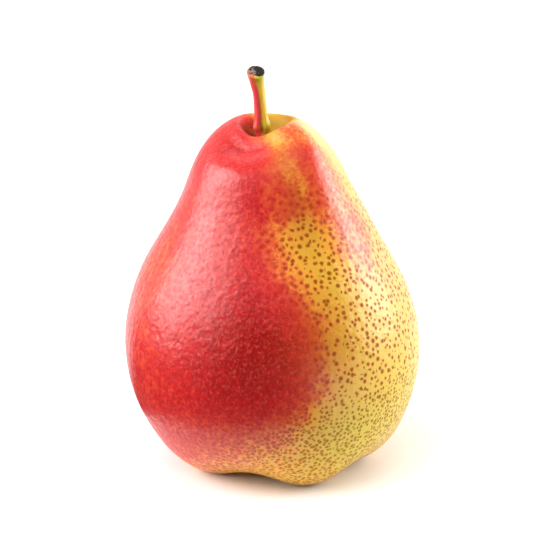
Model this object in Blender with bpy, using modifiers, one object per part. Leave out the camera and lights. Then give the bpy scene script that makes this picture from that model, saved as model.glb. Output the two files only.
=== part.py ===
"""A ripe pear with its stalk and the dried flower end in its base. Metres, +Z up.

The fruit grew as one piece and is one solid. The stalk, the five dried sepals round the
eye and the tuft of dried stamens between them are solids of their own. The origin is on
the surface that the pear stands on, under the middle of its outline. The front is -Y.
"""

import math

import bmesh
import bpy
from mathutils import Matrix, Vector

MM = 0.001
GAP = 0.3 * MM  # air kept between two pieces that touch on the real fruit

# Driving sizes of the fruit
BODY_HEIGHT = 85.0 * MM  # from the resting plane to the rim round the stalk
BELLY_RADIUS = 35.0 * MM  # at the widest height
CENTRE = 0.1 * MM  # puts the middle of the whole outline over the origin
NECK_LEAN = 2.1 * MM  # how far the stalk end stands off from the belly's middle, to -X
BASE_LEAN = 1.2 * MM  # how far the base stands off from the belly's middle, to +X
BASE_LEAN_HEIGHT = 22.0 * MM  # the base's lean fades out at this height
SEGMENTS = 72  # faces round the fruit
RINGS = 46  # faces from the eye to the stalk's hollow

# Half the fruit's outline, from the eye in the base up round the belly and neck and down
# into the stalk's hollow, as a cage that a smooth curve follows. Each point is a share of
# the belly radius and a share of the body height.
OUTLINE = (
    (0.00, 0.070),
    (0.09, 0.068),
    (0.21, 0.046),
    (0.36, -0.011),
    (0.57, -0.008),
    (0.80, 0.066),
    (0.95, 0.172),
    (1.03, 0.300),
    (1.01, 0.430),
    (0.89, 0.560),
    (0.73, 0.670),
    (0.595, 0.770),
    (0.515, 0.860),
    (0.41, 0.940),
    (0.285, 0.992),
    (0.18, 1.007),
    (0.125, 0.964),
    (0.088, 0.947),
    (0.00, 0.944),
)

# Lobes that the fruit stands on: azimuth in degrees, and strength
BASE_LOBES = ((-69.0, 1.0), (-147.0, 0.94), (152.0, 0.93), (80.0, 0.95), (-2.0, 0.96))
LOBE_WIDTH = math.radians(20.0)
LOBE_LIFT = 3.8 * MM  # how far the base rises between two lobes
LOBE_SWELL = 1.1 * MM  # how far a lobe stands out sideways
LOBE_REACH = 10.0 * MM  # height over which the lobes fade into the belly
EYE_RADIUS = 9.0 * MM  # the lobes fade towards the eye inside this radius

# Swells and hollows of the sides: azimuth and width in degrees, the height where each is
# strongest, the height over which it fades, and how far it stands out or in.
SIDE_SWELLS = (
    (-47.0, 15.0, 74.0 * MM, 21.0 * MM, 1.5 * MM),  # ridge down the neck
    (-73.0, 14.0, 74.0 * MM, 21.0 * MM, -1.1 * MM),  # furrow beside it
    (180.0, 40.0, 51.0 * MM, 12.0 * MM, 0.8 * MM),
    (100.0, 38.0, 38.0 * MM, 18.0 * MM, 0.5 * MM),
    (40.0, 30.0, 60.0 * MM, 15.0 * MM, -0.5 * MM),
    (-8.0, 26.0, 63.0 * MM, 8.0 * MM, 0.7 * MM),
)

# Rim of the stalk's hollow: azimuth and width in degrees, the height at which a swell or
# dip has reached half its strength, the step of height over which it grows by a factor of
# e lower down, and how far it rises
RIM_SWELLS = (
    (-43.0, 22.0, 79.0 * MM, 1.75 * MM, 1.2 * MM),
    (-114.0, 38.0, 79.0 * MM, 1.75 * MM, -3.8 * MM),
    (-120.0, 42.0, 83.0 * MM, 1.0 * MM, -2.5 * MM),
    (64.0, 34.0, 79.0 * MM, 1.75 * MM, -0.7 * MM),
)

# Stalk: each point is its offset from the hollow's middle, its height above the resting
# plane and the stalk's radius there. The last points bend towards the front, so that the
# scar where it broke off the tree is slanted.
STALK = (
    ((-0.4 * MM, 0.0), 81.35 * MM, 2.10 * MM),
    ((-0.4 * MM, 0.0), 82.40 * MM, 2.45 * MM),
    ((-0.5 * MM, 0.0), 83.70 * MM, 2.25 * MM),
    ((-0.6 * MM, 0.0), 85.20 * MM, 1.72 * MM),
    ((-0.8 * MM, 0.0), 87.60 * MM, 1.56 * MM),
    ((-1.2 * MM, 0.0), 90.40 * MM, 1.58 * MM),
    ((-1.7 * MM, 0.1 * MM), 93.00 * MM, 1.78 * MM),
    ((-2.1 * MM, 0.0), 95.00 * MM, 2.05 * MM),
    ((-2.1 * MM, -0.9 * MM), 96.20 * MM, 2.10 * MM),
)

# Dried flower end
SEPALS = 5
SEPAL_LENGTH = 4.6 * MM
SEPAL_WIDTH = 2.3 * MM
SEPAL_THICKNESS = 0.5 * MM
SEPAL_RING = 2.6 * MM  # radius of the ring that the sepals grow from
SEPAL_CURL = math.radians(70.0)  # how far a sepal turns outwards from root to tip
SEPAL_CUPPING = 0.15  # depth of the root's hollow side, as a share of the sepal's width
SEPAL_POINT = 1.06  # a sepal would come to a sharp point where its share squared is this
SEPAL_FULLNESS = 0.8  # below 1 the sepal's sides bulge, above 1 they pull in
TUFT_RADIUS = 1.2 * MM  # at its root
TUFT_TIP = 0.55  # radius at the tuft's tip, as a share of the root's
TUFT_LENGTH = 2.4 * MM
TUFT_RAGGED = 0.15  # how uneven the tuft's tip is, as a share of its length
TUFT_SIDES = 10  # two for each sepal
EYE_HEIGHT = 5.3 * MM  # the flower end hangs from this height


def smooth_cage(cage, position):
    """Point of the smooth curve that follows `cage`, at `position` from 0 to its last index.

    The curve is a uniform cubic B-spline. Past either end it takes its neighbour's mirror
    image in the axis, so that it crosses the axis square and the pole is round.
    """
    last = len(cage) - 1
    start = min(int(position), last - 1)
    part = position - start
    weights = (
        (1 - part) ** 3 / 6,
        (3 * part**3 - 6 * part**2 + 4) / 6,
        (-3 * part**3 + 3 * part**2 + 3 * part + 1) / 6,
        part**3 / 6,
    )
    across = along = 0.0
    for weight, index in zip(weights, range(start - 1, start + 3)):
        inside = last - abs(last - abs(index))
        mirrored = -1.0 if index < 0 or index > last else 1.0
        across += weight * mirrored * cage[inside][0]
        along += weight * cage[inside][1]
    return across, along


def swell(azimuth, centre, width):
    """A soft bump round the axis: 1 at `centre`, fading over `width`, all in radians."""
    return math.exp((math.cos(azimuth - centre) - 1) / width**2)


def fade(value, centre, span):
    """A soft bump along a length: 1 at `centre`, fading over `span`."""
    return math.exp(-(((value - centre) / span) ** 2))


def base_lobes(azimuth):
    """How much of a base lobe there is at `azimuth`, from 0 between two to 1 on a crest."""
    total = sum(
        strength * swell(azimuth, math.radians(centre), LOBE_WIDTH)
        for centre, strength in BASE_LOBES
    )
    return min(total, 1.0)


def side_swell(azimuth, height):
    """How far the side stands out or in at `azimuth` and `height`."""
    return sum(
        amount
        * swell(azimuth, math.radians(centre), math.radians(width))
        * fade(height, middle, span)
        for centre, width, middle, span, amount in SIDE_SWELLS
    )


def rim_rise(azimuth, height):
    """How far the rim round the stalk rises or dips at `azimuth`."""
    return sum(
        rise
        * swell(azimuth, math.radians(centre), math.radians(width))
        / (1 + math.exp(-(height - middle) / step))
        for centre, width, middle, step, rise in RIM_SWELLS
    )


def lean(height):
    """How far the fruit's middle stands off towards +X at `height`."""
    base = max(0.0, 1 - max(height, 0.0) / BASE_LEAN_HEIGHT) ** 2
    return CENTRE + BASE_LEAN * base - NECK_LEAN * (max(height, 0.0) / BODY_HEIGHT) ** 3


def skin_point(azimuth, share):
    """Point of the skin at `azimuth`, `share` of the way from the eye to the stalk."""
    across, along = smooth_cage(OUTLINE, share * (len(OUTLINE) - 1))
    radius, height = across * BELLY_RADIUS, along * BODY_HEIGHT
    from_middle = min(radius / EYE_RADIUS, 1.0) ** 2

    lobes = base_lobes(azimuth)
    low = fade(max(height, 0.0), 0.0, LOBE_REACH) * from_middle

    around = radius + low * LOBE_SWELL * (2 * lobes - 1)
    around += side_swell(azimuth, height) * from_middle
    upward = height + low * LOBE_LIFT * (1 - lobes)
    upward += rim_rise(azimuth, height) * from_middle
    return Vector(
        (
            around * math.cos(azimuth) + lean(height),
            around * math.sin(azimuth),
            max(upward, 0.0),
        )
    )


def add_part(name, data, material, collection):
    """Link a new object called `name` to `collection`, with one material."""
    data.materials.append(material)
    part = bpy.data.objects.new(name, data)
    collection.objects.link(part)
    return part


def add_material(name, colour, roughness):
    """A plain Principled material. Nothing on a pear is metal."""
    material = bpy.data.materials.new(name)
    material.use_nodes = True
    shader = material.node_tree.nodes["Principled BSDF"]
    shader.inputs["Base Color"].default_value = (*colour, 1.0)
    shader.inputs["Roughness"].default_value = roughness
    shader.inputs["Metallic"].default_value = 0.0
    material.diffuse_color = (*colour, 1.0)
    return material


def make_fruit(collection):
    """The flesh and skin: a sphere drawn out to the pear's outline, lobes and ridge."""
    sphere = bmesh.new()
    bmesh.ops.create_uvsphere(sphere, u_segments=SEGMENTS, v_segments=RINGS, radius=1.0)
    for vertex in sphere.verts:
        azimuth = math.atan2(vertex.co.y, vertex.co.x)
        share = 1 - math.acos(max(-1.0, min(1.0, vertex.co.z))) / math.pi
        vertex.co = skin_point(azimuth, share)
    bmesh.ops.recalc_face_normals(sphere, faces=sphere.faces)
    mesh = bpy.data.meshes.new("fruit")
    sphere.to_mesh(mesh)
    sphere.free()
    mesh.shade_smooth()
    skin = add_material("blushed_skin", (0.70, 0.10, 0.05), 0.35)
    return add_part("fruit", mesh, skin, collection)


def make_stalk(collection):
    """The stalk: a bent, flared rod with closed ends."""
    curve = bpy.data.curves.new("stem", "CURVE")
    curve.dimensions = "3D"
    curve.bevel_depth = 1.0 * MM
    curve.bevel_resolution = 6
    curve.use_fill_caps = True
    curve.resolution_u = 3
    spline = curve.splines.new("NURBS")
    spline.points.add(len(STALK) - 1)
    spline.use_endpoint_u = True
    spline.order_u = 4
    for point, (offset, height, radius) in zip(spline.points, STALK):
        point.co = (offset[0], offset[1], height, 1.0)
        point.radius = radius / curve.bevel_depth
    bark = add_material("stalk_skin", (0.55, 0.25, 0.10), 0.5)
    stalk = add_part("stem", curve, bark, collection)
    stalk.location.x = lean(BODY_HEIGHT)
    return stalk


def sepal_mesh():
    """One dried sepal hanging from its root at the origin, tip curled out towards +X."""
    leaf = bmesh.new()
    across, along = 4, 7
    bmesh.ops.create_grid(leaf, x_segments=along, y_segments=across, size=0.5)
    for vertex in leaf.verts:
        share = vertex.co.x + 0.5
        half_width = SEPAL_WIDTH / 2 * (SEPAL_POINT - share**2) ** SEPAL_FULLNESS
        turn = SEPAL_CURL * share
        sweep = SEPAL_LENGTH / SEPAL_CURL
        side = 2 * vertex.co.y
        cupped = SEPAL_CUPPING * SEPAL_WIDTH * side**2 * (1 - share)
        out = sweep * (1 - math.cos(turn)) - cupped
        vertex.co = (out, side * half_width, -sweep * math.sin(turn))
    mesh = bpy.data.meshes.new("sepal")
    leaf.to_mesh(mesh)
    leaf.free()
    mesh.shade_smooth()
    return mesh


def make_sepals(collection):
    """The ring of dried sepals round the eye."""
    brown = add_material("dried_sepal", (0.16, 0.09, 0.045), 0.85)
    for number in range(1, SEPALS + 1):
        sepal = add_part(f"sepal_{number}", sepal_mesh(), brown, collection)
        thickness = sepal.modifiers.new("thickness", "SOLIDIFY")
        thickness.thickness = SEPAL_THICKNESS
        thickness.offset = 0.0
        azimuth = 2 * math.pi * number / SEPALS
        ring = Matrix.Rotation(azimuth, 4, "Z") @ Matrix.Translation((SEPAL_RING, 0, 0))
        sepal.matrix_world = Matrix.Translation((0, 0, EYE_HEIGHT - GAP)) @ ring


def make_stamens(collection):
    """The shrivelled tuft of stamens in the middle of the eye, as one small ragged cone."""
    tuft = bmesh.new()
    bmesh.ops.create_cone(
        tuft,
        cap_ends=True,
        segments=TUFT_SIDES,
        radius1=TUFT_TIP * TUFT_RADIUS,
        radius2=TUFT_RADIUS,
        depth=TUFT_LENGTH,
    )
    for vertex in tuft.verts:
        if vertex.co.z < 0:
            ragged = math.sin(SEPALS * math.atan2(vertex.co.y, vertex.co.x))
            vertex.co.z += TUFT_RAGGED * TUFT_LENGTH * ragged
    mesh = bpy.data.meshes.new("dried_stamens")
    tuft.to_mesh(mesh)
    tuft.free()
    straw = add_material("dried_stamen", (0.12, 0.07, 0.04), 0.9)
    stamens = add_part("dried_stamens", mesh, straw, collection)
    stamens.location.z = EYE_HEIGHT - GAP - TUFT_LENGTH / 2


def main():
    for item in list(bpy.data.objects):
        bpy.data.objects.remove(item, do_unlink=True)
    pear = bpy.data.collections.new("pear")
    bpy.context.scene.collection.children.link(pear)
    make_fruit(pear)
    make_stalk(pear)
    make_sepals(pear)
    make_stamens(pear)


main()
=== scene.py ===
"""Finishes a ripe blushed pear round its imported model. Metres, +Z up; the front is -Y.

The skin, the stalk and the dried flower end are fine meshes that take the places of the
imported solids. The sun reddened the side at -X, and the side at +X stayed yellow with brown
lenticels. The pear stands on a plain pale floor in soft light.
"""

import math
import random

import bpy
import numpy as np
from bpy.props import FloatProperty, FloatVectorProperty, IntProperty, PointerProperty
from bpy.types import Operator, Panel, PropertyGroup
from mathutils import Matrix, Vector, noise


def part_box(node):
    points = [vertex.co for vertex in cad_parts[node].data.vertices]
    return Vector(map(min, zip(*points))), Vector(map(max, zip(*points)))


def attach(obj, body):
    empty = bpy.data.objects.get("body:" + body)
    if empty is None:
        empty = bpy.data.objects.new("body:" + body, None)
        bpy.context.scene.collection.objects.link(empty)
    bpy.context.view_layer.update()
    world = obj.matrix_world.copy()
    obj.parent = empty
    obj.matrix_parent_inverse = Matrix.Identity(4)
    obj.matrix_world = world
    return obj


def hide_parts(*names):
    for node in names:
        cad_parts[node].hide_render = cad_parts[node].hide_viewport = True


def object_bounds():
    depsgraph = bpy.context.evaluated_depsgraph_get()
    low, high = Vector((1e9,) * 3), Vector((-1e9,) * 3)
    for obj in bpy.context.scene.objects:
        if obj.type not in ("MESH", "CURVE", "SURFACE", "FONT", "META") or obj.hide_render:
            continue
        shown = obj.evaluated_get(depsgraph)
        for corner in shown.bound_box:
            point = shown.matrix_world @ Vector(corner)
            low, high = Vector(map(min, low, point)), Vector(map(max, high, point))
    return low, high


bl_info = {
    "name": "Blushed Pear",
    "version": (1, 0, 0),
    "blender": (4, 5, 0),
    "location": "View3D > Sidebar > Pear",
    "description": "Grows the skin, stalk and dried flower end of a ripe pear",
    "category": "Add Mesh",
}

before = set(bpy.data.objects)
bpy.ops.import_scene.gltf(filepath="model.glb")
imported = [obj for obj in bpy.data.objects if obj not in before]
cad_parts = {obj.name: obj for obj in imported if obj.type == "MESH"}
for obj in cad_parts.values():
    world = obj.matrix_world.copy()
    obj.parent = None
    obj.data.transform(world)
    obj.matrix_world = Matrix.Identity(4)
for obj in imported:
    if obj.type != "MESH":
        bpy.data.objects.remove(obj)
cad_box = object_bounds()

MM = 0.001

# ---------------------------------------------------------------------------------------
# The fruit's form, as the solid has it
# ---------------------------------------------------------------------------------------

BODY_HEIGHT = 85.0 * MM  # from the resting plane to the rim round the stalk
BELLY_RADIUS = 35.0 * MM  # at the widest height
CENTRE = 0.1 * MM  # puts the middle of the whole outline over the origin
NECK_LEAN = 2.1 * MM  # how far the stalk end stands off from the belly's middle, to -X
BASE_LEAN = 1.2 * MM  # how far the base stands off from the belly's middle, to +X
BASE_LEAN_HEIGHT = 22.0 * MM  # the base's lean fades out at this height

# Half the fruit's outline, from the eye in the base to the stalk's hollow, as a cage that
# a smooth curve follows: shares of the belly radius and of the body height
OUTLINE = np.array(
    (
        (0.00, 0.070),
        (0.09, 0.068),
        (0.21, 0.046),
        (0.36, -0.011),
        (0.57, -0.008),
        (0.80, 0.066),
        (0.95, 0.172),
        (1.03, 0.300),
        (1.01, 0.430),
        (0.89, 0.560),
        (0.73, 0.670),
        (0.595, 0.770),
        (0.515, 0.860),
        (0.41, 0.940),
        (0.285, 0.992),
        (0.18, 1.007),
        (0.125, 0.964),
        (0.088, 0.947),
        (0.00, 0.944),
    )
)

# Lobes that the fruit stands on: azimuth in degrees, and strength
BASE_LOBES = ((-69.0, 1.0), (-147.0, 0.94), (152.0, 0.93), (80.0, 0.95), (-2.0, 0.96))
LOBE_WIDTH = 20.0  # degrees
LOBE_LIFT = 3.8 * MM
LOBE_SWELL = 1.1 * MM
LOBE_REACH = 10.0 * MM
EYE_RADIUS = 9.0 * MM

# Swells and hollows of the sides: azimuth and width in degrees, height, the span of
# heights over which each fades, and how far it stands out or in
SIDE_SWELLS = (
    (-47.0, 15.0, 74.0 * MM, 21.0 * MM, 1.5 * MM),
    (-73.0, 14.0, 74.0 * MM, 21.0 * MM, -1.1 * MM),
    (180.0, 40.0, 51.0 * MM, 12.0 * MM, 0.8 * MM),
    (100.0, 38.0, 38.0 * MM, 18.0 * MM, 0.5 * MM),
    (40.0, 30.0, 60.0 * MM, 15.0 * MM, -0.5 * MM),
    (-8.0, 26.0, 63.0 * MM, 8.0 * MM, 0.7 * MM),
)

# Rim of the stalk's hollow: azimuth and width in degrees, the height above which the rim
# rises or dips, how softly it starts there, and by how much
RIM_SWELLS = (
    (-43.0, 22.0, 79.0 * MM, 1.75 * MM, 1.2 * MM),
    (-114.0, 38.0, 79.0 * MM, 1.75 * MM, -3.8 * MM),
    (-120.0, 42.0, 83.0 * MM, 1.0 * MM, -2.5 * MM),
    (64.0, 34.0, 79.0 * MM, 1.75 * MM, -0.7 * MM),
)

# ---------------------------------------------------------------------------------------
# Where the skin's pigments lie, with some painted light and shade
# ---------------------------------------------------------------------------------------

# Front edge of the blush: height, and azimuth in degrees. The blush runs from this edge
# leftwards round the back.
BLUSH_EDGE = (
    (0.0, -74.0),
    (20.0 * MM, -80.0),
    (28.0 * MM, -72.0),
    (46.0 * MM, -72.0),
    (53.0 * MM, -77.0),
    (60.0 * MM, -81.0),
    (64.0 * MM, -78.0),
    (68.0 * MM, -68.0),
    (72.0 * MM, -70.0),
    (76.0 * MM, -76.0),
    (82.0 * MM, -76.0),
)
BLUSH_SPAN = 168.0  # degrees from its front edge to its back edge
BLUSH_SOFTNESS = (5.5, 14.0)  # degrees, at the front edge and at the back edge
BLUSH_FOOT = (16.0 * MM, 1.0 * MM)  # height where it thins out, in front and at the left
BLUSH_FOOT_FADE = 6.0 * MM
# The deepest patch below is real blush that is darkened further as painted shade low on the front
# of the belly.
BLUSH_DEPTH = 0.7  # the even blush; the deepest patch adds to it

# Patches of more or less blush: azimuth and width in degrees, height, span, amount. A few also
# stand for light and shade, as marked: painted shade, a painted reflection and a painted
# highlight.
BLUSH_PATCHES = (
    # deepest blush low on the front of the belly: partly real blush, partly painted shade where
    # that part gets less light
    (-96.0, 17.0, 38.0 * MM, 14.0 * MM, 0.34),
    (-56.0, 11.0, 80.0 * MM, 6.0 * MM, 0.42),
    (-38.0, 11.0, 80.0 * MM, 7.0 * MM, 0.26),
    (-53.0, 8.0, 70.0 * MM, 8.0 * MM, 0.24),
    (-42.0, 16.0, 63.0 * MM, 13.0 * MM, 0.26),
    (-26.0, 14.0, 44.0 * MM, 10.0 * MM, 0.08),
    # a paler band down the front: a painted reflection of a soft light
    (-87.0, 7.0, 64.0 * MM, 18.0 * MM, -0.12),
    (-82.0, 14.0, 80.0 * MM, 5.0 * MM, 0.08),
    # a paler front lip round the stalk's hollow: partly a painted highlight where the lip's edge
    # catches light
    (-96.0, 22.0, 81.6 * MM, 1.4 * MM, -0.26),
    (-80.0, 10.0, 82.8 * MM, 1.5 * MM, -0.14),
    (-77.0, 5.0, 79.0 * MM, 4.0 * MM, -0.08),
    (20.0, 50.0, 84.8 * MM, 1.4 * MM, 0.26),
    (-38.0, 8.0, 59.0 * MM, 9.0 * MM, 0.12),
    (-20.0, 18.0, 66.0 * MM, 15.0 * MM, 0.16),
    (-60.0, 9.0, 56.0 * MM, 10.0 * MM, -0.06),
    (-40.0, 22.0, 14.0 * MM, 9.0 * MM, -0.1),
    (-10.0, 20.0, 44.0 * MM, 18.0 * MM, 0.07),
    (-157.0, 16.0, 50.0 * MM, 14.0 * MM, -0.12),
    (-150.0, 30.0, 12.0 * MM, 8.0 * MM, 0.12),
    (-142.0, 45.0, 81.0 * MM, 9.0 * MM, 0.1),
)

# Patches of brown in the furrow and low on the front, and of green near the base: as above. The
# low brown patch is partly painted shade.
OCHRE_PATCHES = (
    (-69.0, 9.0, 68.0 * MM, 8.0 * MM, 0.5),
    # low on the front: partly real brown, partly painted shade
    (-70.0, 10.0, 39.0 * MM, 13.0 * MM, 0.55),
    (-74.0, 12.0, 80.0 * MM, 4.0 * MM, 0.36),
)
GREEN_PATCHES = (
    (-50.0, 20.0, 14.0 * MM, 10.0 * MM, 0.6),
    (-20.0, 26.0, 24.0 * MM, 14.0 * MM, 0.45),
    (75.0, 40.0, 24.0 * MM, 20.0 * MM, 0.3),
)

# Lenticels: the finer set gives way to the wider one between the first two heights, and
# the wider ones shrink and thin out between the other two
BASE_TO_BELLY = (30.0 * MM, 42.0 * MM)
BELLY_TO_NECK = (60.0 * MM, 82.0 * MM)
FILLED_CELLS = 0.95  # share of the skin's cells that hold a lenticel
SMALLEST_LENTICEL = 0.68  # share of the usual radius
LENTICEL_SPREAD = 0.6  # share of the usual radius that the largest has on top of that

# Cork, and the painted shade in the stalk's hollow: radii from the fruit's axis
EYE_CORK = 6.5 * MM
STALK_CORK = 4.2 * MM
HOLLOW_WALL = 5.4 * MM
HOLLOW_WIDENING = (30.0, 40.0, 2.2 * MM)  # azimuth and width in degrees, and by how much

# ---------------------------------------------------------------------------------------
# The stalk and the dried flower end
# ---------------------------------------------------------------------------------------

# Control points of the stalk's middle line: offset from the hollow's middle, height and
# radius. It starts inside the flesh, and its end is bent so that the scar faces forwards.
STALK = (
    (-0.4 * MM, 0.0, 80.2 * MM, 1.5 * MM),
    (-0.4 * MM, 0.0, 81.8 * MM, 1.7 * MM),
    (-0.5 * MM, 0.0, 83.2 * MM, 1.95 * MM),
    (-0.6 * MM, 0.0, 84.8 * MM, 1.65 * MM),
    (-0.8 * MM, 0.0, 87.2 * MM, 1.45 * MM),
    (-1.0 * MM, 0.0, 90.4 * MM, 1.42 * MM),
    (-1.4 * MM, 0.1 * MM, 93.0 * MM, 1.6 * MM),
    (-1.85 * MM, 0.0, 95.0 * MM, 1.95 * MM),
    (-1.85 * MM, -0.9 * MM, 96.2 * MM, 2.08 * MM),
)

# Ridges and grooves along the stalk: azimuth and width in degrees, height, span, and
# share of the radius
STALK_FORM = (
    (-92.0, 15.0, 88.0 * MM, 5.5 * MM, -0.16),
    (-130.0, 22.0, 88.0 * MM, 7.0 * MM, 0.05),
    (-48.0, 24.0, 88.0 * MM, 7.0 * MM, 0.05),
    (75.0, 20.0, 89.0 * MM, 8.0 * MM, -0.1),
    (-146.0, 26.0, 83.0 * MM, 1.0 * MM, 0.2),
    (-38.0, 30.0, 83.2 * MM, 1.2 * MM, 0.2),
    (-92.0, 15.0, 83.2 * MM, 1.5 * MM, -0.36),
    (100.0, 40.0, 83.4 * MM, 1.5 * MM, 0.12),
)

# Front edge of the stalk's sunny side: heights, and azimuths in degrees
STALK_EDGE = ((83.0 * MM, 90.0 * MM, 95.0 * MM), (-98.0, -92.0, -88.0))
STALK_BLUSH_SPAN = 170.0  # degrees
STALK_BLUSH_SOFTNESS = (7.0, 14.0)  # degrees

SCAR_RINGS = 21
SCAR_DOME = 0.35 * MM  # how far the middle of the scar stands out
SCAR_MIDDLE = 0.03  # radius of the last ring, as a share of the first

SEPALS = 5
SEPAL_RING = 2.6 * MM  # radius of the ring that the sepals grow from
SEPAL_ROOT = 0.9 * MM  # how far a sepal reaches back into the flesh
SEPAL_CURL = 70.0  # degrees that a sepal turns outwards from root to tip

# ---------------------------------------------------------------------------------------
# The studio
# ---------------------------------------------------------------------------------------

# Soft boxes: azimuth and elevation, and width and height as seen from the pear, in degrees
SOFT_BOXES = {
    "left_soft_box": (177.0, 21.0, 32.0, 42.0),
    "right_soft_box": (6.0, 20.0, 48.0, 36.0),
    "right_sheen": (9.0, 12.0, 22.0, 28.0),
    "top_soft_box": (-104.0, 58.0, 38.0, 38.0),
}
SOFT_BOX_DISTANCE = 0.8  # metres from the pear's middle
LEFT_GLOW = (-158.0, 34.0)  # azimuth and elevation in degrees
RIGHT_GLOW = (48.0, 6.0)

FLOOR_RADIUS = 4.0
FLOOR_CORNERS = 64
FLOOR_DROP = 0.02 * MM  # how far the floor lies below the resting plane

CARD_STEPS = 48
CARD_HEIGHT = 0.5 * MM
CARD_SWEEP = (-215.0, -60.0)  # azimuths of the card's two ends, in degrees
CARD_INNER = (41.0 * MM, 54.0 * MM)  # inner radius at each end
CARD_OUTER = 1500.0 * MM

CAMERA_AIM = (0.6 * MM, 0.476)  # how far to +X, and the share of the pear's height


def linear(red, green, blue):
    """A scene-linear colour from the 0 to 255 values of a colour chart."""

    def channel(value):
        value /= 255
        return value / 12.92 if value <= 0.04045 else ((value + 0.055) / 1.055) ** 2.4

    return channel(red), channel(green), channel(blue)


def length_prop(name, description, default, most=0.1):
    """A length that a user may change, in metres."""
    return FloatProperty(
        name=name,
        description=description,
        default=default,
        min=0.0,
        max=most,
        precision=5,
        subtype="DISTANCE",
        unit="LENGTH",
    )


def brightness_prop(name, description, default):
    """A brightness that a user may change."""
    return FloatProperty(name=name, description=description, default=default, min=0.0)


def colour_prop(name, description, default):
    """A colour that a user may change."""
    return FloatVectorProperty(
        name=name, description=description, default=default, min=0.0, max=1.0, subtype="COLOR"
    )


class PEAR_PG_fruit(PropertyGroup):
    """Sizes and colours of the skin"""

    segments: IntProperty(
        name="Segments", description="Faces round the fruit", default=340, min=24, max=400
    )
    rings: IntProperty(
        name="Rings", description="Faces from eye to stalk", default=216, min=24, max=240
    )
    unevenness: length_prop("Unevenness", "Depth of the broad, shallow dents", 0.22 * MM)
    dimples: length_prop("Dimples", "Depth of the small dents", 0.07 * MM)
    peel: length_prop("Peel", "Depth of the fine grain that the skin has all over", 0.016 * MM)
    lenticel_cell: length_prop("Lenticel Spacing", "Width of one lenticel's cell", 1.75 * MM)
    lenticel_radius: length_prop("Lenticel Radius", "Radius of a lenticel", 0.43 * MM)
    base_cell: length_prop("Base Spacing", "Width of a lenticel's cell near the base", 1.2 * MM)
    base_radius: length_prop("Base Radius", "Radius of a lenticel near the base", 0.31 * MM)
    roughness: FloatProperty(
        name="Roughness", description="Roughness of the waxy skin", default=0.3, min=0.0, max=1.0
    )
    yellow: colour_prop("Yellow", "Ripe ground colour", linear(224, 177, 50))
    green: colour_prop("Green", "Less ripe ground colour", linear(208, 184, 48))
    gold: colour_prop("Gold", "First touch of blush on the ground", linear(246, 168, 54))
    orange: colour_prop("Orange", "Half-blushed skin", linear(228, 92, 44))
    red: colour_prop("Red", "Blushed skin", linear(206, 28, 32))
    # Crimson is partly painted shade: the deepest patch low on the belly's front reaches it.
    crimson: colour_prop("Crimson", "Deepest blush", linear(158, 6, 8))
    salmon: colour_prop("Salmon", "Paler skin between the dots of the blush", linear(246, 96, 84))
    # Ochre also darkens a patch low on the front, where it is partly painted shade.
    ochre: colour_prop("Ochre", "Brown tinge in the furrow", linear(166, 78, 14))
    lenticel: colour_prop("Lenticel", "Corky dots on the yellow side", linear(144, 66, 0))
    dark_lenticel: colour_prop("Dark Lenticel", "Dots in the blush", linear(150, 16, 6))
    # The next two colours are painted shade in the stalk's hollow: the first is laid over the
    # blush, the second over the yellow ground.
    hollow: colour_prop("Hollow", "Shaded blush in the stalk's hollow", linear(134, 16, 2))
    olive_hollow_shade: colour_prop("Olive", "Shaded ground in the stalk's hollow", linear(184, 144, 60))
    russet: colour_prop("Russet", "Cork round the eye and the stalk", linear(150, 104, 52))


class PEAR_PG_stalk(PropertyGroup):
    """Sizes and colours of the stalk"""

    segments: IntProperty(
        name="Segments", description="Faces round the stalk", default=96, min=16, max=200
    )
    rings: IntProperty(
        name="Rings", description="Faces along the stalk", default=150, min=16, max=300
    )
    wrinkles: length_prop("Wrinkles", "Depth of the long wrinkles", 0.05 * MM)
    scar_depth: length_prop("Scar Depth", "Depth of the pits in the scar", 0.3 * MM)
    red: colour_prop("Red", "Sunny side", linear(230, 70, 72))
    orange: colour_prop("Orange", "Edge of the sunny side", linear(238, 140, 62))
    yellow: colour_prop("Yellow", "Shaded side", linear(230, 190, 58))
    green: colour_prop("Green", "Fresh skin at both ends", linear(190, 184, 48))
    # Crease is painted shade along the long groove and in the notch at the stalk's foot; it also
    # colours the stalk's small specks.
    crease: colour_prop("Crease", "Bottom of the long groove", linear(150, 52, 20))
    scar: colour_prop("Scar", "Dried scar where it left the tree", linear(40, 30, 24))
    # Ash is partly a painted highlight on the scar's facets.
    ash_and_glint: colour_prop("Ash", "Grey flecks in the scar", linear(168, 140, 128))


class PEAR_PG_flower(PropertyGroup):
    """Sizes and colours of the dried flower end"""

    sepal_length: length_prop("Sepal Length", "Root to tip along the curl", 4.5 * MM)
    sepal_width: length_prop("Sepal Width", "At its widest", 2.2 * MM)
    sepal_thickness: length_prop("Sepal Thickness", "In the middle", 0.42 * MM)
    filaments: IntProperty(
        name="Filaments", description="Dried stamens in the tuft", default=19, min=1, max=40
    )
    filament_radius: length_prop("Filament Radius", "Of one dried stamen", 0.075 * MM)
    sepal: colour_prop("Sepal", "Dried sepal", linear(96, 66, 38))
    sepal_tip: colour_prop("Sepal Tip", "Withered edge and tip", linear(46, 30, 20))
    filament: colour_prop("Filament", "Dried stamen", linear(88, 62, 40))
    anther: colour_prop("Anther", "Head of a dried stamen", linear(38, 26, 20))


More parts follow.
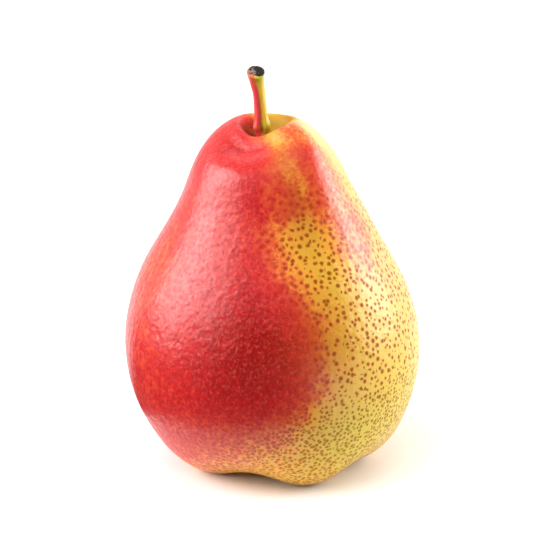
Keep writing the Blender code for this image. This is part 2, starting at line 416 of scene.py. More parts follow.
class PEAR_PG_studio(PropertyGroup):
    """The floor, the lights and the camera"""

    floor: colour_prop("Floor", "Plain pale floor", (0.96, 0.96, 0.96))
    left_light: brightness_prop("Left Light", "Brightness of the left soft box", 6.0)
    left_spill: brightness_prop("Left Spill", "Brightness of the glow at the left", 4.4)
    right_light: brightness_prop("Right Light", "Brightness of the right soft box", 4.7)
    right_sheen: brightness_prop("Right Sheen", "Brightness of the strip that only shines", 3.4)
    top_light: brightness_prop("Top Light", "Brightness of the overhead soft box", 2.9)
    right_spill: brightness_prop("Right Spill", "Brightness of the glow at the right", 1.6)
    ceiling: brightness_prop("Ceiling", "Brightness of the studio overhead", 0.45)
    back: brightness_prop("Back", "Brightness of the studio behind the pear", 0.8)
    front: brightness_prop("Front", "Brightness of the studio round the camera", 0.04)
    elevation: FloatProperty(
        name="Elevation",
        description="How high the camera looks down from",
        default=math.radians(18.0),
        subtype="ANGLE",
        unit="ROTATION",
    )
    distance: length_prop("Distance", "From the camera to the pear", 0.495, most=5.0)
    lens: FloatProperty(
        name="Lens", description="Focal length in millimetres", default=135.0, min=1.0
    )


# ---------------------------------------------------------------------------------------
# Form
# ---------------------------------------------------------------------------------------


def swell(azimuth, centre, width):
    """A soft bump round the axis: 1 at `centre`, fading over `width`, both in degrees."""
    away = np.cos(azimuth - math.radians(centre)) - 1
    return np.exp(away / math.radians(width) ** 2)


def fade(value, centre, span):
    """A soft bump along a length: 1 at `centre`, fading over `span`."""
    return np.exp(-(((value - centre) / span) ** 2))


def rise(value, step):
    """A soft step from 0 to 1 at `value` 0, over a few times `step`."""
    return 1 / (1 + np.exp(-value / step))


def patches(azimuth, height, places):
    """The sum of soft patches: each place is an azimuth, width, height, span and amount."""
    return sum(
        amount * swell(azimuth, centre, width) * fade(height, middle, span)
        for centre, width, middle, span, amount in places
    )


def smooth_cage(position):
    """Radius and height of the curve that follows OUTLINE, at each position along it."""
    last = len(OUTLINE) - 1
    start = np.minimum(position.astype(int), last - 1)
    part = position - start
    weights = (
        (1 - part) ** 3 / 6,
        (3 * part**3 - 6 * part**2 + 4) / 6,
        (-3 * part**3 + 3 * part**2 + 3 * part + 1) / 6,
        part**3 / 6,
    )
    radius = height = 0.0
    for step, weight in enumerate(weights, start=-1):
        index = start + step
        inside = last - abs(last - abs(index))
        mirrored = np.where((index < 0) | (index > last), -1.0, 1.0)
        radius = radius + weight * mirrored * OUTLINE[inside, 0] * BELLY_RADIUS
        height = height + weight * OUTLINE[inside, 1] * BODY_HEIGHT
    return radius, height


def lean(height):
    """How far the fruit's middle stands off towards +X at `height`."""
    height = np.maximum(height, 0.0)
    base = np.maximum(0.0, 1 - height / BASE_LEAN_HEIGHT) ** 2
    return CENTRE + BASE_LEAN * base - NECK_LEAN * (height / BODY_HEIGHT) ** 3


def skin_rings(segments, rings):
    """The fruit's skin as rings of points, from the eye to the stalk, evenly far apart."""
    fine = np.linspace(0, len(OUTLINE) - 1, 4000)
    radius, height = smooth_cage(fine)
    travelled = np.concatenate(([0], np.cumsum(np.hypot(np.diff(radius), np.diff(height)))))
    steps = np.linspace(0, travelled[-1], rings + 2)[1:-1]
    radius, height = smooth_cage(np.interp(steps, travelled, fine))
    radius, height = radius[:, None], height[:, None]
    azimuth = np.linspace(0, math.tau, segments, endpoint=False)[None, :]

    from_middle = np.minimum(radius / EYE_RADIUS, 1.0) ** 2
    lobes = sum(strength * swell(azimuth, at, LOBE_WIDTH) for at, strength in BASE_LOBES)
    lobes = np.minimum(lobes, 1.0)
    low = fade(np.maximum(height, 0.0), 0.0, LOBE_REACH) * from_middle
    rim = sum(
        amount * swell(azimuth, at, width) * rise(height - start, softness)
        for at, width, start, softness, amount in RIM_SWELLS
    )

    around = radius + low * LOBE_SWELL * (2 * lobes - 1)
    around = around + patches(azimuth, height, SIDE_SWELLS) * from_middle
    upward = height + low * LOBE_LIFT * (1 - lobes)
    upward = upward + rim * from_middle
    return np.stack(
        (
            around * np.cos(azimuth) + lean(height),
            around * np.sin(azimuth),
            upward,
        ),
        axis=-1,
    )


def grain(points, size, seed):
    """Smooth noise from -1 to 1 at each point, with features of about `size`."""
    shift = Vector((seed, 2.0 * seed, 3.0 * seed))
    return np.array([noise.noise(Vector(point) / size + shift) for point in points])


def clamped_spline(cage, count):
    """`count` rows of the cubic B-spline that starts and ends on the cage's end rows."""
    cage = np.array(cage)
    last = len(cage) - 3
    knots = np.concatenate(([0] * 3, np.arange(last + 1), [last] * 3))
    at = np.linspace(0, last, count)
    span = np.minimum(at.astype(int), last - 1)
    rows = [cage[span + index] for index in range(4)]
    for level in range(1, 4):
        for index in range(3, level - 1, -1):
            left, right = knots[span + index], knots[span + index + 4 - level]
            share = ((at - left) / (right - left))[:, None]
            rows[index] = (1 - share) * rows[index - 1] + share * rows[index]
    return rows[3]


def loft(rings):
    """Vertices and faces of a closed body through rings of points, with a fan at each end."""
    count, around = rings.shape[:2]
    vertices = np.vstack((rings.reshape(-1, 3), rings[0].mean(0), rings[-1].mean(0)))
    faces = []
    for ring in range(count - 1):
        for side in range(around):
            a, b = ring * around + side, ring * around + (side + 1) % around
            faces.append((a, b, b + around, a + around))
    top = (count - 1) * around
    for side in range(around):
        following = (side + 1) % around
        faces.append((following, side, count * around))
        faces.append((top + side, top + following, count * around + 1))
    return vertices, faces


def add_mesh(name, vertices, faces, stands_for, material):
    """Adds a piece that stands for CAD nodes, rides with them and takes one material."""
    for node in stands_for:
        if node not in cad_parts:
            raise RuntimeError(f"the packed model has no node named {node}")
    old = bpy.data.objects.get(name)
    if old is not None:
        bpy.data.objects.remove(old, do_unlink=True)
    mesh = bpy.data.meshes.new(name)
    mesh.from_pydata([tuple(vertex) for vertex in vertices], [], faces)
    mesh.shade_smooth()
    mesh.materials.append(material)
    piece = bpy.data.objects.new(name, mesh)
    bpy.context.scene.collection.objects.link(piece)
    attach(piece, "root")
    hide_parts(*stands_for)
    return piece


def add_values(piece, name, values):
    """Stores one number for each vertex, for the material to read by `name`."""
    attribute = piece.data.attributes.new(name, "FLOAT", "POINT")
    attribute.data.foreach_set("value", np.asarray(values, dtype=np.float32))


def blush_round(azimuth, edge, span, softness):
    """1 inside the blush that runs leftwards from azimuth `edge` over `span` degrees."""
    margin = math.radians(360 - span) / 2
    inside = (edge - azimuth + margin) % math.tau - margin
    front, back = (math.radians(soft) for soft in softness)
    return rise(inside, front) * rise(math.radians(span) - inside, back)


# ---------------------------------------------------------------------------------------
# Materials
# ---------------------------------------------------------------------------------------


class Recipe:
    """Adds shader nodes to one tree and joins them from left to right."""

    def __init__(self, tree):
        self.tree = tree

    def feed(self, socket, value):
        """Links a socket to another node's output, or sets its own value."""
        if isinstance(value, bpy.types.NodeSocket):
            self.tree.links.new(value, socket)
        elif hasattr(value, "__len__") and len(value) == 3 and socket.type == "RGBA":
            socket.default_value = (*value, 1.0)
        else:
            socket.default_value = value

    def node(self, kind, inputs, **settings):
        """Adds a node and fills the inputs, which are named or numbered."""
        made = self.tree.nodes.new("ShaderNode" + kind)
        for setting, value in settings.items():
            setattr(made, setting, value)
        for key, value in inputs.items():
            self.feed(made.inputs[key], value)
        return made

    def math(self, operation, *values, clamp=False):
        """The result of one sum on numbers."""
        made = self.node("Math", dict(enumerate(values)), operation=operation, use_clamp=clamp)
        return made.outputs[0]

    def vector(self, operation, *values):
        """The result of one sum on vectors."""
        made = self.node("VectorMath", dict(enumerate(values)), operation=operation)
        return made.outputs["Value" if operation in ("LENGTH", "DOT_PRODUCT") else "Vector"]

    def scaled_sum(self, *pairs, start=0.0):
        """`start` plus each value times its weight."""
        total = start
        for value, weight in pairs:
            total = self.math("MULTIPLY_ADD", value, weight, total)
        return total

    def between(self, value, low, high, to_low=0.0, to_high=1.0):
        """A soft step: `to_low` where value is `low`, `to_high` where it is `high`."""
        inputs = {"Value": value, 1: low, 2: high, 3: to_low, 4: to_high}
        return self.node("MapRange", inputs, interpolation_type="SMOOTHSTEP").outputs[0]

    def mix(self, share, first, second):
        """`first` where share is 0, `second` where it is 1."""
        made = self.node("Mix", {0: share, 6: first, 7: second}, data_type="RGBA")
        return made.outputs[2]

    def ramp(self, value, stops):
        """A run of colours: each stop is a place from 0 to 1 and a colour."""
        made = self.node("ValToRGB", {0: value})
        elements = made.color_ramp.elements
        while len(elements) < len(stops):
            elements.new(0.5)
        for element, (place, colour) in zip(elements, stops):
            element.position = place
            element.color = (*colour, 1.0)
        return made.outputs[0]


class Finish(Recipe):
    """One material."""

    def __init__(self, name):
        self.material = bpy.data.materials.new(name)
        self.material.use_nodes = True
        super().__init__(self.material.node_tree)
        self.shader = self.tree.nodes["Principled BSDF"]

    def place(self):
        """Where a point of the piece is, in metres."""
        return self.node("TexCoord", {}).outputs["Object"]

    def facing(self):
        """Which way the piece's surface faces there."""
        return self.node("TexCoord", {}).outputs["Normal"]

    def value_of(self, name):
        """The number that the mesh stores under `name`."""
        return self.node("Attribute", {}, attribute_name=name).outputs["Fac"]

    def noise(self, place, size, detail=2.0, roughness=0.5, distortion=0.0):
        """Soft noise from 0 to 1, with features of about `size` metres."""
        inputs = {
            "Vector": place,
            "Scale": 1 / size,
            "Detail": detail,
            "Roughness": roughness,
            "Distortion": distortion,
        }
        return self.node("TexNoise", inputs).outputs[0]

    def stretched(self, place, along):
        """`place` with its heights divided by `along`, which draws a pattern out upwards."""
        return self.vector("MULTIPLY", place, (1.0, 1.0, 1.0 / along))

    def cells(self, place, cell, randomness=0.9):
        """One dot in each cell of the skin: how far a point is from its dot's middle, along
        the skin, and two numbers from 0 to 1 that differ from dot to dot."""
        pattern = self.node(
            "TexVoronoi", {"Vector": place, "Scale": 1 / cell, "Randomness": randomness}
        )
        to_middle = self.vector("SUBTRACT", place, pattern.outputs["Position"])
        along_skin = self.vector("CROSS_PRODUCT", to_middle, self.facing())
        lots = self.node("SeparateColor", {0: pattern.outputs["Color"]}).outputs
        return self.vector("LENGTH", along_skin), lots[0], lots[1]

    def dots(self, distance, radius, softness):
        """1 inside a dot of `radius`, 0 outside, with an edge `softness` wide."""
        edge = self.math("SUBTRACT", distance, radius)
        return self.between(edge, softness / 2, -softness / 2)

    def bump(self, height):
        """Feeds the shader's normal from a height in metres."""
        made = self.node("Bump", {"Height": height, "Distance": 1.0, "Strength": 1.0})
        self.feed(self.shader.inputs["Normal"], made.outputs[0])

    def set(self, **values):
        """Sets the shader's own sockets, named with _ for a space."""
        for name, value in values.items():
            self.feed(self.shader.inputs[name.replace("_", " ")], value)


def lenticel_radius(skin, lot, usual):
    """The radius of a lenticel that drew `lot`, from 0 to 1."""
    return skin.math("MULTIPLY_ADD", lot, LENTICEL_SPREAD * usual, SMALLEST_LENTICEL * usual)


def skin_finish(fruit):
    """Waxy pear skin: ground colour, blush, lenticels, cork, and painted shade in the stalk's
    hollow.
    """
    skin = Finish("blushed_skin")
    place = skin.place()
    wobble = skin.node("TexNoise", {"Vector": place, "Scale": 1 / (0.9 * MM)}).outputs["Color"]
    ragged = skin.vector("MULTIPLY_ADD", wobble, (0.35 * MM,) * 3, place)

    # Lenticels: a wider and a finer set, which change over near the base
    height = skin.node("SeparateXYZ", {0: place}).outputs[2]
    turn = skin.math("MULTIPLY_ADD", skin.noise(place, 14 * MM), 14 * MM, height)
    upper = skin.between(turn, *BASE_TO_BELLY)
    neck = skin.between(height, *BELLY_TO_NECK)
    wide, wide_lot, wide_size = skin.cells(ragged, fruit.lenticel_cell)
    fine, fine_lot, fine_size = skin.cells(ragged, fruit.base_cell)
    wide_radius = lenticel_radius(skin, wide_size, fruit.lenticel_radius)
    wide_radius = skin.math("MULTIPLY", wide_radius, skin.between(neck, 0.0, 1.0, 1.0, 0.3))
    fine_radius = lenticel_radius(skin, fine_size, fruit.base_radius)
    fine_radius = skin.math("MULTIPLY_ADD", skin.value_of("netted"), 0.13 * MM, fine_radius)
    wide_there = skin.math("LESS_THAN", wide_lot, skin.math("MULTIPLY", upper, FILLED_CELLS))
    wide_there = skin.math("MULTIPLY", wide_there, skin.between(neck, 0.6, 1.0, 1.0, 0.25))
    lower = skin.math("SUBTRACT", 1.0, upper)
    fine_there = skin.math("LESS_THAN", fine_lot, skin.math("MULTIPLY", lower, FILLED_CELLS))
    wide_dot = skin.math("MULTIPLY", skin.dots(wide, wide_radius, 0.5 * MM), wide_there)
    fine_dot = skin.math("MULTIPLY", skin.dots(fine, fine_radius, 0.42 * MM), fine_there)
    dot = skin.math("MAXIMUM", wide_dot, fine_dot)
    wide_halo = skin.math("MULTIPLY", skin.between(wide, 1.2 * MM, 0.3 * MM), wide_there)
    fine_halo = skin.math("MULTIPLY", skin.between(fine, 0.9 * MM, 0.25 * MM), fine_there)
    halo = skin.math("MAXIMUM", wide_halo, fine_halo)

    # Blush, which swings most where it thins out
    streaks = skin.noise(skin.stretched(place, 4.0), 1.6 * MM, detail=3.0, roughness=0.6)
    clouds = skin.noise(place, 6 * MM, detail=3.0)
    mottle = skin.noise(place, 0.8 * MM, detail=3.0, roughness=0.65)
    blush = skin.value_of("blush")
    near_edge = skin.math("MULTIPLY", blush, skin.math("SUBTRACT", 1.0, blush))
    swing = skin.math("MULTIPLY_ADD", near_edge, 0.8, 0.45)
    varied = skin.scaled_sum(
        (streaks, 0.5), (clouds, 0.4), (mottle, 0.9), (halo, 0.16), start=-0.98
    )
    pigment = skin.math("MULTIPLY_ADD", varied, swing, blush, clamp=True)
    ripe = skin.math("MULTIPLY_ADD", clouds, 0.5, skin.value_of("green"))
    ground = skin.mix(skin.between(ripe, 0.3, 1.0), fruit.yellow, fruit.green)
    red_side = skin.ramp(
        pigment,
        (
            (0.22, fruit.gold),
            (0.44, fruit.orange),
            (0.68, fruit.red),
            (1.0, fruit.crimson),
        ),
    )
    colour = skin.mix(skin.between(pigment, 0.02, 0.3), ground, red_side)
    # brown in the furrow, and low on the front where it is partly painted shade
    colour = skin.mix(skin.value_of("ochre"), colour, fruit.ochre)

    # Paler threads and flecks through the blush
    threads = skin.noise(skin.stretched(place, 1.4), 0.55 * MM, detail=3.0, roughness=0.6)
    flecks = skin.between(skin.scaled_sum((threads, 0.6), (mottle, 0.4)), 0.46, 0.7)
    pale = skin.math("MULTIPLY", flecks, skin.between(blush, 0.4, 0.8, 0.0, 0.55))
    colour = skin.mix(pale, colour, fruit.salmon)

    # Lenticels over that, then the painted shade in the stalk's hollow, and the cork
    dot_colour = skin.mix(skin.between(pigment, 0.2, 0.8), fruit.lenticel, fruit.dark_lenticel)
    dot_strength = skin.between(blush, 0.26, 0.7, 0.92, 0.25)
    dot_strength = skin.math("MULTIPLY_ADD", skin.value_of("netted"), -0.3, dot_strength)
    colour = skin.mix(skin.math("MULTIPLY", dot, dot_strength), colour, dot_colour)
    # Painted shade: near the stalk the colour is mixed towards a darker shaded blush or shaded
    # ground
    hollow = skin.value_of("hollow")
    shaded = skin.mix(skin.between(blush, 0.1, 0.5), fruit.olive_hollow_shade, fruit.hollow)
    colour = skin.mix(skin.between(hollow, 0.2, 1.0, 0.0, 0.95), colour, shaded)
    crumbly = skin.between(skin.noise(place, 1.4 * MM, detail=4.0), 0.3, 0.6)
    cork = skin.math("MULTIPLY", skin.value_of("russet"), crumbly)
    colour = skin.mix(cork, colour, fruit.russet)

    # Gloss and relief: cork and the hollow are duller than the waxy skin
    rough = skin.scaled_sum(
        (mottle, 0.1), (dot, 0.1), (cork, 0.3), (hollow, 0.4), start=fruit.roughness - 0.05
    )
    pores = skin.noise(place, 0.5 * MM, detail=2.0)
    dents = skin.noise(place, 1.8 * MM, detail=1.0)
    relief = skin.scaled_sum(
        (dents, 0.2 * MM), (pores, 0.035 * MM), (dot, 0.012 * MM), (cork, 0.03 * MM)
    )
    skin.bump(relief)
    skin.set(Base_Color=colour, Roughness=rough, IOR=1.5)
    corky = skin.math("MULTIPLY", dot, skin.between(blush, 0.1, 0.5, 0.8, 0.0))
    dull = skin.math("MAXIMUM", skin.between(hollow, 0.0, 0.6), corky)
    skin.set(Specular_IOR_Level=skin.between(dull, 0.0, 1.0, 0.52, 0.06))
    return skin.material


def stalk_finish(stalk):
    """Stalk skin, red on its sunny side, with painted shade in its groove and a dried scar at its
    end.
    """
    bark = Finish("stalk_skin")
    place = bark.place()
    grainy = bark.noise(bark.stretched(place, 6.0), 0.5 * MM, detail=4.0)
    blotches = bark.noise(place, 1.6 * MM, detail=3.0)
    blush = bark.scaled_sum((grainy, 0.3), (blotches, 0.3), start=bark.value_of("blush"))
    fresh = bark.mix(bark.value_of("green"), stalk.yellow, stalk.green)
    sunny = bark.ramp(
        bark.math("SUBTRACT", blush, 0.3), ((0.25, stalk.orange), (0.75, stalk.red))
    )
    colour = bark.mix(bark.between(blush, 0.4, 0.85), fresh, sunny)
    # Painted shade in the groove, a little stronger or weaker along the grain
    crease_shade_strength = bark.between(grainy, 0.25, 0.6, 0.5, 1.0)
    crease = bark.math("MULTIPLY", bark.value_of("crease"), crease_shade_strength)
    colour = bark.mix(crease, colour, stalk.crease)
    specks = bark.noise(bark.stretched(place, 2.0), 0.4 * MM, detail=1.0)
    lenticels = bark.between(specks, 0.68, 0.74)
    colour = bark.mix(bark.math("MULTIPLY", lenticels, 0.5), colour, stalk.crease)
    # Grey flecks in the dried scar: partly real, partly a painted highlight on its facets, with
    # more of them on the blushed side that faces the left light
    broken = bark.noise(place, 0.6 * MM, detail=4.0, roughness=0.7)
    flecks = bark.math("MULTIPLY_ADD", bark.value_of("blush"), 0.2, broken)
    dry = bark.mix(bark.between(flecks, 0.53, 0.66), stalk.scar, stalk.ash_and_glint)
    scar = bark.between(bark.scaled_sum((blotches, 0.5), start=bark.value_of("scar")), 0.62, 0.82)
    colour = bark.mix(scar, colour, dry)

    rough = bark.scaled_sum((grainy, 0.15), (scar, 0.4), start=0.32)
    pitted = bark.math("MULTIPLY", bark.noise(place, 0.3 * MM, detail=4.0, roughness=0.7), scar)
    bark.bump(bark.scaled_sum((grainy, 0.05 * MM), (pitted, 0.3 * MM), (lenticels, 0.02 * MM)))
    bark.set(Base_Color=colour, Roughness=rough, IOR=1.45)
    return bark.material


def dried_finish(name, inner, outer, vein_size):
    """Withered brown skin that darkens where the mesh stores a high `withered` value."""
    husk = Finish(name)
    place = husk.place()
    veins = husk.noise(husk.stretched(place, 4.0), vein_size, detail=5.0, roughness=0.65)
    aged = husk.scaled_sum((veins, 0.7), start=husk.value_of("withered"))
    colour = husk.mix(husk.between(aged, 0.3, 1.2), inner, outer)
    pale = husk.between(husk.noise(place, 0.7 * vein_size, detail=3.0), 0.55, 0.75, 0.0, 0.35)
    colour = husk.mix(pale, colour, tuple(min(1.0, 2.2 * part) for part in inner))
    husk.bump(husk.scaled_sum((veins, 0.25 * vein_size)))
    husk.set(Base_Color=colour, Roughness=husk.scaled_sum((veins, 0.25), start=0.68), IOR=1.4)
    return husk.material


# ---------------------------------------------------------------------------------------
# Pieces
# ---------------------------------------------------------------------------------------


def grow_fruit(fruit):
    """The skin: fine rings over the solid's form, with dents and grain, fitted to its box."""
    vertices, faces = loft(skin_rings(fruit.segments, fruit.rings))
    piece = add_mesh("fruit_skin", vertices, faces, ("fruit",), skin_finish(fruit))
    normals = np.array([vertex.normal for vertex in piece.data.vertices])
    depth = fruit.unevenness * grain(vertices, 24 * MM, 1)
    depth += fruit.dimples * grain(vertices, 7 * MM, 2)
    depth += fruit.peel * grain(vertices, 2.4 * MM, 3)
    vertices = vertices + normals * depth[:, None]
    vertices[:, 2] = np.maximum(vertices[:, 2], 0.0)
    low, high = (np.array(corner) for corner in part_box("fruit"))
    share = (vertices - vertices.min(0)) / (vertices.max(0) - vertices.min(0))
    vertices = low + share * (high - low)
    piece.data.vertices.foreach_set("co", vertices.astype(np.float32).ravel())
    piece.data.update()

    height = vertices[:, 2]
    across = np.hypot(vertices[:, 0] - lean(height), vertices[:, 1])
    azimuth = np.arctan2(vertices[:, 1], vertices[:, 0] - lean(height))
    edge_heights, edges = zip(*BLUSH_EDGE)
    edge = np.radians(np.interp(height, edge_heights, edges))
    front, left = BLUSH_FOOT
    foot = left + (front - left) * swell(azimuth, -80.0, 35.0)
    blush = blush_round(azimuth, edge, BLUSH_SPAN, BLUSH_SOFTNESS)
    blush = BLUSH_DEPTH * blush * rise(height - foot, BLUSH_FOOT_FADE)
    blush = blush + patches(azimuth, height, BLUSH_PATCHES)
    add_values(piece, "blush", np.clip(blush, 0.0, 1.0))
    add_values(piece, "ochre", patches(azimuth, height, OCHRE_PATCHES))
    add_values(piece, "netted", rise(20 * MM - height, 4 * MM) * swell(azimuth, -125.0, 60.0))
    add_values(piece, "green", patches(azimuth, height, GREEN_PATCHES))
    below, above = height < BODY_HEIGHT / 2, height > BODY_HEIGHT / 2
    round_eye = rise(EYE_CORK - across, 0.8 * MM) * below
    round_stalk = rise(STALK_CORK - across, 0.5 * MM) * above
    add_values(piece, "russet", round_eye + 0.6 * round_stalk)
    # Inside this radius, wider on one side, the colour gets painted shade for the stalk's hollow;
    # the same mask also dulls the gloss there
    widest, width, widening = HOLLOW_WIDENING
    wall = HOLLOW_WALL + widening * swell(azimuth, widest, width)
    add_values(piece, "hollow", rise(wall - across, 0.7 * MM) * above)
    return piece


def grow_stalk(stalk):
    """The stalk: a ridged, flared rod that grows out of the flesh and ends in a scar."""
    along = clamped_spline(STALK, stalk.rings)
    middle, radius = along[:, :3] + (lean(BODY_HEIGHT), 0.0, 0.0), along[:, 3:]
    tangent = np.gradient(middle, axis=0)
    tangent /= np.linalg.norm(tangent, axis=1, keepdims=True)
    sideways = np.cross((0.0, 1.0, 0.0), tangent)
    sideways /= np.linalg.norm(sideways, axis=1, keepdims=True)
    backwards = np.cross(tangent, sideways)
    azimuth = np.linspace(0, math.tau, stalk.segments, endpoint=False)[None, :]

    # The scar closes the end: rings that shrink, each a little further out than the last
    closing = np.linspace(1.0, SCAR_MIDDLE, SCAR_RINGS + 1)[1:]
    domed = SCAR_DOME * np.sqrt(1 - closing**2)
    middle = np.vstack((middle, middle[-1] + tangent[-1] * domed[:, None]))
    sideways, backwards, radius = (
        np.vstack((rows, np.repeat(rows[-1:], SCAR_RINGS, axis=0)))
        for rows in (sideways, backwards, radius)
    )
    inward = np.concatenate((np.ones(stalk.rings), closing))[:, None]

    height = middle[:, 2:]
    form = 1 + patches(azimuth, height, STALK_FORM)
    around = (radius * form * inward)[:, :, None]
    turn = azimuth[:, :, None]
    outward = np.cos(turn) * sideways[:, None] + np.sin(turn) * backwards[:, None]
    points = middle[:, None] + around * outward

    flat = points.reshape(-1, 3)
    drawn_out = flat * (1.0, 1.0, 0.2)
    wrinkle = stalk.wrinkles * grain(drawn_out, 0.55 * MM, 5) + 0.1 * MM * grain(flat, 3 * MM, 6)
    flat = flat + outward.reshape(-1, 3) * (wrinkle * np.repeat(inward, stalk.segments))[:, None]
    pits = np.repeat(1 - inward**4, stalk.segments)
    broken = grain(flat, 0.9 * MM, 7) + 0.5 * grain(flat, 0.4 * MM, 8) - 0.4
    flat = flat + tangent[-1] * (stalk.scar_depth * pits * broken)[:, None]
    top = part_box("stem")[1].z
    flat[:, 2] = np.minimum(flat[:, 2], top)

    vertices, faces = loft(flat.reshape(points.shape))
    piece = add_mesh("stalk", vertices, faces, ("stem",), stalk_finish(stalk))
    everywhere = np.zeros(points.shape[:2])
    side = azimuth + everywhere
    tall = height + everywhere
    edge = np.radians(np.interp(tall, *STALK_EDGE))
    blush = blush_round(side, edge, STALK_BLUSH_SPAN, STALK_BLUSH_SOFTNESS)
    blush = blush - 0.35 * fade(tall, 83.2 * MM, 1.0 * MM)
    blush = blush - 0.45 * rise(tall - 92.8 * MM, 0.7 * MM)
    # Painted shade: along the long groove, and in the notch where the stalk meets the flesh at
    # the front
    crease = 0.8 * swell(side, -88.0, 11.0) * fade(tall, 87.0 * MM, 4.0 * MM)
    crease = crease + 0.9 * swell(side, -90.0, 17.0) * fade(tall, 82.4 * MM, 1.2 * MM)
    green = rise(tall - 93.5 * MM, 0.7 * MM) + rise(84.2 * MM - tall, 0.5 * MM)
    start = 0.02 + 0.42 * swell(side, -112.0, 40.0)
    scar = rise(1 - inward - start, 0.02) + 0.4 * rise(tall - 96.2 * MM, 0.25 * MM)
    ends = (0.0, 0.0)
    add_values(piece, "blush", [*blush.ravel(), *ends])
    add_values(piece, "crease", [*crease.ravel(), *ends])
    add_values(piece, "green", [*np.clip(green, 0, 1).ravel(), *ends])
    add_values(piece, "scar", [*np.clip(scar + everywhere, 0, 1).ravel(), 0.0, 1.0])
    return piece


def sepal_rings(flower, lot):
    """One dried sepal as rings, hanging from z = 0 with its tip curled out towards +X."""
    stations, around = 40, 28
    along = np.linspace(0.0, 1.0, stations)[:, None]
    turn = np.linspace(0, math.tau, around, endpoint=False)[None, :]
    curl = math.radians(SEPAL_CURL) * lot.uniform(0.88, 1.0)
    sweep = flower.sepal_length * lot.uniform(0.92, 1.0) / curl
    bend = curl * along
    width = flower.sepal_width / 2 * np.sqrt(np.clip(1.03 - along**2.2, 0.0, 1.0))
    thickness = flower.sepal_thickness / 2 * (1 - 0.75 * along)
    wave, twist = lot.uniform(0, math.tau), lot.uniform(-0.35, 0.35)

    side = width * np.cos(turn)
    crimp = 0.14 * MM * np.sin(9 * along + wave) * (side / width) ** 2 * along
    cup = -0.12 * flower.sepal_width * (side / width) ** 2 * (1 - along)
    ribs = 0.03 * MM * np.cos(14 * side / flower.sepal_width)
    raised = thickness * np.sin(turn) + crimp + cup + ribs * np.sign(np.sin(turn))
    side, raised = (
        side * np.cos(twist * along) - raised * np.sin(twist * along),
        side * np.sin(twist * along) + raised * np.cos(twist * along),
    )
    out = sweep * (1 - np.cos(bend)) + raised * np.cos(bend)
    down = -sweep * np.sin(bend) + raised * np.sin(bend)
    return np.stack((out, side, down), axis=-1), along + 0 * turn


def grow_sepals(flower):
    """The five dried sepals, each over its own solid."""
    finish = dried_finish("dried_sepal", flower.sepal, flower.sepal_tip, 0.6 * MM)
    lot = random.Random(11)
    for number in range(1, SEPALS + 1):
        rings, along = sepal_rings(flower, lot)
        azimuth = math.tau * number / SEPALS
        low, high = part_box(f"sepal_{number}")
        rings[..., 2] = np.maximum(rings[..., 2] + high.z, low.z)
        out, side = rings[..., 0] + SEPAL_RING, rings[..., 1].copy()
        rings[..., 0] = out * math.cos(azimuth) - side * math.sin(azimuth)
        rings[..., 1] = out * math.sin(azimuth) + side * math.cos(azimuth)
        vertices, faces = loft(np.vstack((rings[:1] + (0.0, 0.0, SEPAL_ROOT), rings)))
        piece = add_mesh(
            f"dried_sepal_{number}", vertices, faces, (f"sepal_{number}",), finish
        )
        add_values(piece, "withered", [*np.zeros(rings.shape[1]), *along.ravel(), 0.0, 1.0])


def grow_stamens(flower):
    """The tuft of dried stamens: thin bent filaments with a small head on each."""
    lot = random.Random(5)
    low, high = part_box("dried_stamens")
    middle = (np.array(low) + np.array(high)) / 2
    reach = (high.x - low.x) / 2
    around, stations = 8, 22
    turn = np.linspace(0, math.tau, around, endpoint=False)
    vertices, faces, withered = [], [], []
    for number in range(flower.filaments):
        share = math.sqrt((number + 0.5) / flower.filaments)
        azimuth = 2.4 * number + lot.uniform(-0.3, 0.3)
        root = np.array((math.cos(azimuth), math.sin(azimuth), 0.0)) * share * reach * 0.6
        root += (middle[0], middle[1], high.z + 0.8 * MM)
        tip_out = share * reach * lot.uniform(0.6, 0.95)
        bent = azimuth + lot.uniform(-0.9, 0.9)
        tip = np.array((math.cos(bent) * tip_out, math.sin(bent) * tip_out, 0.0))
        tip += (middle[0], middle[1], low.z + lot.uniform(0.12, 1.0) * MM)
        along = np.linspace(0, 1, stations)
        path = root + (tip - root) * along[:, None]
        path[:, 0] += 0.12 * MM * np.sin(5 * along + number)
        path[:, 1] += 0.12 * MM * np.sin(4 * along + 2 * number) * along
        head = fade(along, 0.95, 0.06)
        thick = flower.filament_radius * (1 - 0.4 * along + 1.1 * head)
        thick[-1] *= 0.4
        ring = np.stack((np.cos(turn), np.sin(turn), 0 * turn), axis=-1)
        points, sides = loft(path[:, None] + thick[:, None, None] * ring[None])
        faces += [tuple(index + len(vertices) for index in face) for face in sides]
        vertices += [tuple(point) for point in points]
        withered += [*np.repeat(0.3 * along + head, around), 0.0, 1.0]
    finish = dried_finish("dried_stamen", flower.filament, flower.anther, 0.3 * MM)
    piece = add_mesh(
        "stamen_tuft", vertices, faces, ("dried_stamens",), finish
    )
    add_values(piece, "withered", withered)
    return piece


# ---------------------------------------------------------------------------------------
# Studio
# ---------------------------------------------------------------------------------------


def towards(azimuth, elevation):
    """The direction at `azimuth` from +X and `elevation` above the floor, in degrees."""
    turn, lift = math.radians(azimuth), math.radians(elevation)
    return Vector(
        (math.cos(turn) * math.cos(lift), math.sin(turn) * math.cos(lift), math.sin(lift))
    )


